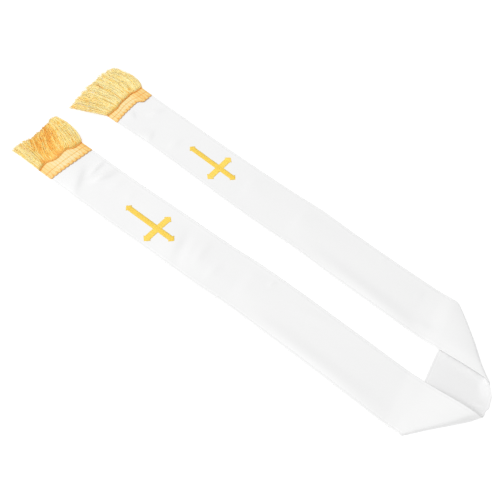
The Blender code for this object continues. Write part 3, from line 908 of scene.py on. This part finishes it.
def makeBraid(side):
    shape = braidShapes[side]
    arm = shape["arm"]
    width = readColumn(arm["line"], arm["endX"][0], 1)
    margin = braid["margin"] / width
    ribs = int(width / braid["ribPitch"])
    across = np.linspace(margin, 1 - margin, ribs * 6 + 1)
    ribPhase = np.linspace(0, ribs, ribs * 6 + 1)
    down = np.concatenate([np.linspace(0, 7, 12), np.linspace(8, 40, 30)])
    down = down / down[-1]
    tooth = np.abs(np.sin(math.pi * across * braid["teeth"])) ** 0.6
    topX = readColumn(shape["top"], across) + braid["toothDepth"] * (tooth - 0.35)
    cordX = readColumn(shape["cord"], across) - 1.0
    lineX = readColumn(shape["band"], across)
    tint = readColumn(shape["band"], across, 1)
    raised = readColumn(shape["band"], across, 2)
    x = blend(topX[None, :], cordX[None, :], down[:, None])
    inward = topX[None, :] - x  # how far in from the toothed side
    toCord = x - cordX[None, :]
    gimp = np.sin(math.pi * np.clip(inward / braid["gimpWidth"], 0, 1)) ** 0.8
    onGimp = 1 - ease((inward - braid["gimpWidth"] + 1.0) / 1.5)
    rib = np.abs(np.sin(math.pi * ribPhase))[None, :] ** 0.7
    line = np.exp(-(((x - lineX[None, :]) / 0.9) ** 2))
    dots = 0.5 + 0.5 * np.cos(2 * math.pi * ribPhase)[None, :]
    height = braid["thick"] + braid["gimpRise"] * gimp * onGimp * (0.7 + 0.3 * tooth[None, :])
    height = height + braid["ribRise"] * rib * (1 - onGimp) + 0.45 * (1 - onGimp) * (1 - line)
    height = height - 0.5 * np.exp(-(((inward - braid["gimpWidth"] - 0.6) / 0.7) ** 2))
    height = height * ease(toCord / 3.0 + 0.35) * ease(inward / 0.8 + 0.25)
    edge = ease(np.minimum(across, 1 - across) / 0.03)[None, :]
    height = height * (0.45 + 0.55 * edge) + raised[None, :] * edge
    places = clothTop(arm, x, across[None, :] + 0.0 * x, 0.3)
    beyond = ease((blend(*arm["endX"], across)[None, :] - x) / 5.0)
    places[..., 2] += height - 0.8 * beyond
    flat = np.stack([inward, across[None, :] * width + 0.0 * x], -1) * mm
    piece, row, column = sheetOver(rowPlaces(places), flat)
    if piece.data.polygons[0].normal.z < 0:
        piece.data.flip_normals()
    third = np.exp(-(((ribPhase % 3) - 1.5) / 0.4) ** 2)[None, :]  # every third rib is a darker one
    tone = tint[None, :] * (1 - onGimp) + 0.80 * onGimp * (1.15 - 0.6 * tooth[None, :])
    # within 7.5 mm of the cord the braid is toned deep orange: painted shadow of the strands that puff up
    # over its edge
    tone = tone + 0.70 * line * (0.3 + 0.7 * dots) + 0.85 * (1 - ease(toCord / 7.5)) ** 1.3
    tone = tone + 0.15 * (1 - rib) + 0.34 * third * (1 - onGimp) + wander(0.06, 1, len(across))
    toneLayer = piece.data.attributes.new("tone", "FLOAT", "POINT")
    toneLayer.data.foreach_set("value", np.clip(tone, 0, 1)[row, column].astype(np.float32))
    applyModifier(piece, "SOLIDIFY", "wall", thickness=braid["wall"] * mm, offset=-1.0)
    finishPiece(piece, "braid" + side.capitalize(), braidMaterial)
    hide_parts("braid_" + side)
    return piece


braids = [makeBraid(side) for side in braidShapes]
print("braids woven:", len(braids[0].data.polygons), "faces each")


def makeBraidCords(side):
    # the cord along the strands' roots, the running stitch and the picots of the toothed side
    shape = braidShapes[side]
    arm = shape["arm"]
    strand = modelStrand(6, 6)
    share = np.linspace(0, 1, strand["stations"])
    width = readColumn(arm["line"], arm["endX"][0], 1)
    paths, radii, tones = [], [], []

    def add(x, across, lift, radius, tone):
        raised = readColumn(shape["band"], across, 2) * ease(np.minimum(across, 1 - across) / 0.03)
        paths.append(clothTop(arm, x, across, lift + raised))
        radii.append(radius + 0.0 * x)
        tones.append(tone + 0.0 * x)

    twists = 60
    starts = np.arange(twists) / twists
    across = np.clip(starts[:, None] + (share[None, :] * 1.7 - 0.35) / twists, 0.004, 0.996)
    swing = np.sin(math.pi * (share - 0.5))[None, :]
    # the cord's deep orange tone (0.88) is partly its own thread and partly painted shadow of the strands
    # puffing up over the braid's edge
    cordX = readColumn(shape["cord"], across)
    add(cordX + 0.9 * swing, across, 1.9 + 0.5 * np.cos(math.pi * (share - 0.5))[None, :],
        braid["cordRadius"] * (0.55 + 0.45 * np.sin(math.pi * share))[None, :], 0.88)
    stitches = int(width / braid["ribPitch"])
    across = np.clip((np.arange(stitches)[:, None] + 0.2 + 0.6 * share[None, :]) / stitches, 0.01, 0.99)
    add(readColumn(shape["band"], across), across, 1.45 + 0.25 * np.sin(math.pi * share)[None, :], 0.36, 0.8)
    picots = braid["teeth"] * 2
    across = np.clip((np.arange(picots)[:, None] + share[None, :]) / picots, 0.006, 0.994)
    arch = np.sin(math.pi * share)[None, :]
    tooth = np.abs(np.sin(math.pi * across * braid["teeth"])) ** 0.6
    topX = readColumn(shape["top"], across) + braid["toothDepth"] * (tooth - 0.35)
    add(topX - 0.4 + 0.9 * arch, across, 0.6 + 0.2 * arch, 0.6, 0.74)
    return drawThreads(
        "braidThreads" + side.capitalize(), strand, np.concatenate(paths), np.concatenate(radii),
        np.concatenate(tones), 0.85, braidMaterial,
    )


braidThreads = [makeBraidCords(side) for side in braidShapes]
print("braid threads laid:", len(braidThreads[0].data.polygons), "faces each")


fringe = {
    "sides": 4,
    "cuts": 15,
    "radius": 0.72,
    "tipShare": 0.75,
    "humpPeak": 0.7,
    "tipHeight": 0.8,
    "rootLift": 2.4,
    "loft": (0.68, 1.02),  # of the lowest and the highest strand, in humps
    "locks": 26,
    "clump": 0.14,
    "stray": 2.0,  # how far a tip strays to the side
    "ragged": 1.9,
    "crimp": 0.8,
    "crimpRise": 0.15,
    "crimpPitch": 13.0,
    "girth": (0.8, 1.25),  # of the thinnest and the thickest strand, in radii
    "rootSpread": 1.2,
    "tipSpread": 1.8,
    "swayPitch": (9.0, 16.0),
    # a low strand is toned more orange as painted shade, under the strands above it
    "lowStrandShade": 0.55,  # how much more orange a low strand is
    "wander": 0.24,  # of the tone along a strand
    "seed": {"left": 12, "right": 5},
}
# each layer is strands over a stretch of the braid, read from a table of across, tip x, tip y,
# sideways bow, height of the hump and how orange it is; the lower layer is toned more orange,
# partly its own colour and partly painted shade under the strands above
fringeLayers = {
    "left": [
        {
            "strands": 400,
            "roots": (0.02, 0.72),
            "base": 0.0,
            "table": [
                (0.0, -546.0, -146.0, -1.0, 1.5, 0.52),
                (0.1, -545.0, -132.0, -3.0, 1.6, 0.60),
                (0.22, -543.0, -114.0, -5.0, 1.8, 0.68),
                (0.45, -546.0, -86.0, -7.0, 1.8, 0.80),
                (0.72, -549.0, -62.0, -4.0, 2.0, 0.72),
            ],
        },
        {
            "strands": 120,
            "roots": (0.004, 0.22),
            "base": 0.9,
            "table": [
                (0.0, -549.0, -175.5, -1.0, 4.0, 0.30),
                (0.11, -550.5, -159.0, 0.0, 6.5, 0.28),
                (0.22, -547.0, -141.0, 1.0, 3.0, 0.56),
            ],
        },
        {
            "strands": 220,
            "roots": (0.60, 0.996),
            "base": 0.9,
            "table": [
                (0.6, -548.0, -67.0, 3.0, 5.0, 0.52),
                (0.75, -551.0, -60.0, 4.0, 8.0, 0.42),
                (0.88, -552.0, -52.0, 6.0, 9.0, 0.36),
                (1.0, -549.0, -45.0, 8.5, 5.0, 0.38),
            ],
        },
    ],
    "right": [
        {
            "strands": 220,
            "roots": (0.01, 0.99),
            "base": 0.0,
            "table": [
                (0.0, -556.0, 163.0, 8.0, 3.0, 0.34),
                (0.5, -565.0, 90.0, 2.0, 3.0, 0.36),
                (1.0, -546.0, -2.0, -3.0, 3.0, 0.36),
            ],
        },
        {
            "strands": 400,
            "roots": (0.004, 0.996),
            "base": 0.8,
            "table": [
                (0.0, -556.0, 164.0, 9.0, 5.0, 0.18),
                (0.15, -567.0, 149.5, 6.5, 7.5, 0.20),
                (0.3, -569.0, 124.0, 4.0, 6.5, 0.22),
                (0.45, -567.5, 100.0, 2.0, 6.5, 0.16),
                (0.65, -562.0, 63.5, 0.0, 6.0, 0.20),
                (0.85, -555.0, 28.0, -2.0, 6.5, 0.26),
                (1.0, -545.0, -5.0, -3.5, 4.0, 0.22),
            ],
        },
    ],
}
# where the strands open on to deeper ones, toned more orange there as painted shade: x, y, turn, length,
# width, tone, dip
fringeHollows = {
    "left": [
        (-527.0, -86.0, 0.0, 17.0, 7.0, 0.24, 0.6),
        (-506.0, -98.0, -30.0, 20.0, 12.0, 0.18, 0.8),
        (-502.0, -132.0, -8.0, 32.0, 11.0, 0.26, 1.0),
        (-463.0, -156.0, 40.0, 7.0, 5.0, 0.40, 1.0),
    ],
    "right": [
        (-474.0, 128.0, -64.0, 13.0, 3.2, 0.42, 1.8),
        (-544.0, 4.0, -40.0, 10.0, 8.0, 0.22, 0.0),
        (-530.0, 34.0, 18.0, 30.0, 7.0, 0.10, 0.0),
        (-484.0, 172.0, -8.0, 28.0, 3.5, 0.45, 0.0),
    ],
}


def hollowDepth(side, x, y):
    # how much painted shade (a more orange tone) and how low the hollows make a place
    tone, dip = 0.0 * x, 0.0 * x
    for hollowX, hollowY, turn, length, width, hollowShade, hollowDip in fringeHollows[side]:
        along, aside = alongAside(x, y, hollowX, hollowY, turn)
        inside = np.exp(-((along / length) ** 2) - (aside / width) ** 2)
        tone, dip = tone + hollowShade * inside, dip + hollowDip * inside
    return tone, dip


def hangStrands(side, layer, share):
    # the paths, radii and tones of one layer of strands
    shape = braidShapes[side]
    arm = shape["arm"]
    count = layer["strands"]
    place = blend(*layer["roots"], (np.arange(count) + 0.5 + wander(0.4, count)) / count)
    place = np.clip(place, 0.004, 0.996)
    lock = np.floor(place * fringe["locks"] + 0.35 * np.sin(place * 97.0)).astype(int)
    lock = np.clip(lock, 0, fringe["locks"] - 1)
    lockMiddle = ((np.arange(fringe["locks"]) + 0.5) / fringe["locks"])[lock]
    lockLean, lockReach = wander(1.0, fringe["locks"])[lock], wander(1.3, fringe["locks"])[lock]
    lockLift, lockTone = wander(0.6, fringe["locks"])[lock], wander(0.05, fringe["locks"])[lock]
    tipAcross = np.clip(blend(place, lockMiddle, fringe["clump"]), *layer["roots"])
    tipX, tipY, bow, hump, tone = readCurve(layer["table"], tipAcross).T
    tipX = tipX + lockReach + wander(fringe["ragged"], count)
    tipY = tipY + lockLean + wander(fringe["stray"], count)
    rootX = readColumn(shape["cord"], place) - 0.3
    root = clothTop(arm, rootX, place)
    depth = rng.random(count)  # 0 is the lowest of its layer
    swing = np.sin(math.pi * share ** fringe["humpPeak"])[None, :]
    lift = (hump * blend(*fringe["loft"], depth) + lockLift)[:, None] * swing
    x = blend(rootX[:, None], tipX[:, None], share[None, :])
    y = blend(root[:, 1:2], tipY[:, None], share[None, :]) + bow[:, None] * swing
    rootZ = root[:, 2:3] + fringe["rootLift"] - fringe["rootSpread"] + layer["base"]
    rootZ = rootZ + fringe["rootSpread"] * depth[:, None]
    tipZ = fringe["tipHeight"] + layer["base"] + fringe["tipSpread"] * depth[:, None]
    z = blend(rootZ, tipZ, ease(share)[None, :]) + lift
    phase = rng.uniform(0, 2 * math.pi, (count, 2))
    length = np.hypot(tipX - rootX, tipY - root[:, 1])[:, None] * share[None, :]
    slow = length / rng.uniform(*fringe["swayPitch"], (count, 1)) + phase[:, :1]
    quick = 2 * math.pi * length / fringe["crimpPitch"] + phase[:, 1:]
    loose = share[None, :] ** 0.7
    y = y + (0.95 * np.sin(slow) + fringe["crimp"] * np.sin(quick)) * loose
    z = z + (0.45 * np.cos(slow * 1.3) + fringe["crimpRise"] * np.cos(quick)) * loose
    x = x + 0.5 * np.cos(slow * 0.9) * loose
    radius = fringe["radius"] * blend(1.0, fringe["tipShare"], share)[None, :]
    radius = radius * rng.uniform(*fringe["girth"], (count, 1))
    z = np.maximum(z, radius + 0.05)
    hollowShade, dip = hollowDepth(side, x, y)
    z = np.maximum(z - dip, radius + 0.05)
    # low strands are toned more orange: painted shade
    tones = (tone + lockTone + fringe["lowStrandShade"] * (0.5 - depth))[:, None]
    tones = tones + wander(0.10, count, 1) + hollowShade
    # the first part of each strand, at the root, is toned more orange: painted shade under the puff; a random
    # tone along the strand is added too
    tones = tones + 0.30 * (1 - ease(share / 0.14))[None, :] + wander(fringe["wander"], count, len(share))
    return np.stack([x, y, z], -1), radius, np.clip(tones, 0, 1)


def makeFringe(side):
    strand = modelStrand(fringe["sides"], fringe["cuts"])
    share = np.linspace(0, 1, strand["stations"]) ** 1.1
    layers = [hangStrands(side, layer, share) for layer in fringeLayers[side]]
    paths, radii, tones = (np.concatenate(parts) for parts in zip(*layers))
    name = "fringe" + side.capitalize()
    piece = drawThreads(name, strand, paths, radii, tones, 1.0, fringeMaterial)
    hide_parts("fringe_" + side)
    return piece


for side in fringeLayers:
    rng = np.random.default_rng(fringe["seed"][side])
    makeFringe(side)


stage = {
    "floorSize": 40.0,
    "floorShade": 0.3,
    "floorGlow": 0.78,
    "world": 0.60,
    "keyAway": 7.4,
    "keyTurn": 226.0,  # degrees round from the stole's own x
    "keyRise": 58.0,
    "keySize": 4.2,
    "keyPower": 300.0,
}
camera = {
    "place": (352.36, -411.7, 902.3),  # in the strip's millimetres
    "heading": 39.0,
    "pitch": 61.617,
    "lens": 35.53,
}


def makeFloor():
    bpy.ops.mesh.primitive_plane_add(size=stage["floorSize"], location=(0, 0, 0))
    floor = bpy.context.object
    floor.name = "floor"
    shade = stage["floorShade"]
    finish = Finish("whiteFloor", Base_Color=(shade, shade, shade, 1.0), Roughness=0.9)
    finish.set("Specular IOR Level", 0.0)
    finish.set("Emission Color", (1.0, 1.0, 1.0, 1.0))
    finish.set("Emission Strength", stage["floorGlow"])
    floor.data.materials.append(finish.material)


def makeLight():
    lamp = bpy.data.lights.new("key", "AREA")
    lamp.energy = stage["keyPower"]
    lamp.size = stage["keySize"]
    light = bpy.data.objects.new("key", lamp)
    bpy.context.scene.collection.objects.link(light)
    turn, rise = math.radians(stage["keyTurn"]), math.radians(stage["keyRise"])
    light.location = (
        stage["keyAway"] * math.cos(rise) * math.cos(turn),
        stage["keyAway"] * math.cos(rise) * math.sin(turn),
        stage["keyAway"] * math.sin(rise),
    )
    light.rotation_euler = (math.pi / 2 - rise, 0.0, turn + math.pi / 2)
    world = bpy.data.worlds.new("studio")
    world.use_nodes = True
    world.node_tree.nodes["Background"].inputs["Color"].default_value = (1.0, 1.0, 1.0, 1.0)
    world.node_tree.nodes["Background"].inputs["Strength"].default_value = stage["world"]
    bpy.context.scene.world = world


def makeCamera():
    data = bpy.data.cameras.new("camera")
    data.lens = camera["lens"]
    data.sensor_width = 36.0
    data.clip_start, data.clip_end = 0.01, 50.0
    eye = bpy.data.objects.new("camera", data)
    bpy.context.scene.collection.objects.link(eye)
    eye.location = rowPlaces(np.array(camera["place"]))
    eye.rotation_euler = (math.radians(90 - camera["pitch"]), 0.0, math.radians(camera["heading"]))
    bpy.context.scene.camera = eye


makeFloor()
makeLight()
makeCamera()
bpy.context.scene.view_settings.view_transform = "Standard"
print("stage lit")
